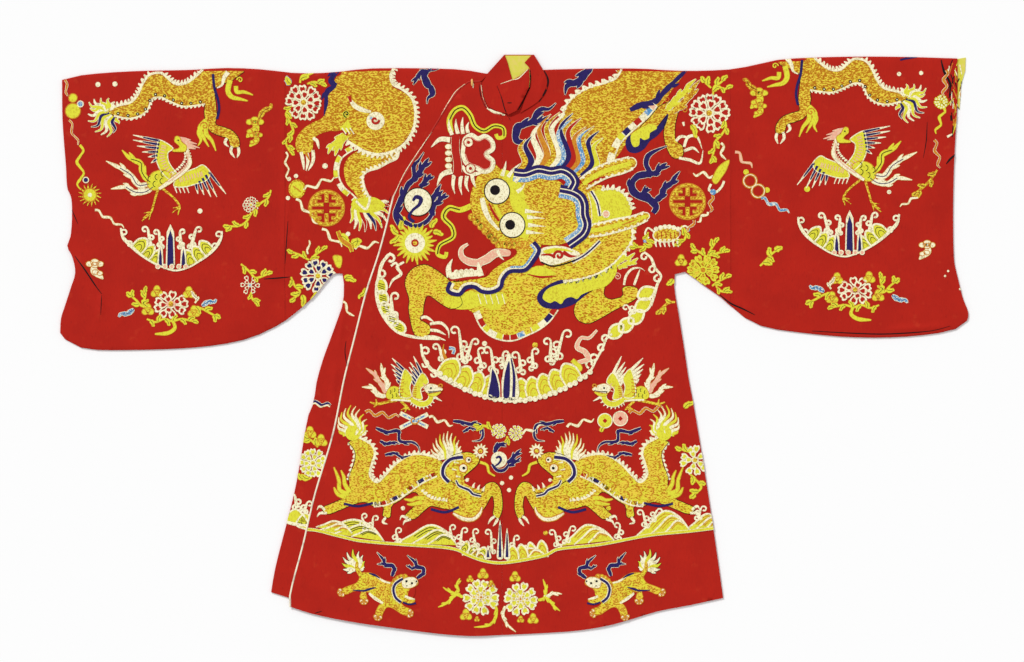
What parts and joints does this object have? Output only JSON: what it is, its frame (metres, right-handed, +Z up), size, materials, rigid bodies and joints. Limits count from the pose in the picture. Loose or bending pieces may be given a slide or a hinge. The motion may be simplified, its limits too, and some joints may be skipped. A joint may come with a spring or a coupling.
{
  "type": "qilin court robe laid flat",
  "caption": "Round-collar court robe with wide sleeves and a front lap fastened at the shoulder, laid flat with its front up.",
  "frame": {"origin": "bottom centre of the bounding box: the middle of the robe as it lies, on the surface", "axes": "+X to the wearer's left sleeve, +Y to the neck, +Z up off the surface, out of the front of the robe"},
  "size_m": [1.907, 1.2206, 0.0094],
  "materials": {
    "satin": "red silk satin with a fine warp, embroidered in gold and coloured silk",
    "lining": "thin yellow-green silk lining",
    "piping": "cream silk piping",
    "cord": "twisted yellow silk cord"
  },
  "bodies": {
    "root": {"body_right": "satin", "body_left": "satin", "front_overlap": "satin", "sleeve_right": "satin", "sleeve_left": "satin", "collar_back": "satin", "collar_lining": "lining", "collar_right": "satin", "collar_flap": "satin", "collar_left": "satin", "neck_trim": "piping", "lap_edging": "piping", "fastening_loop": "cord", "cuff_lining_left": "lining"}
  },
  "joints": []
}
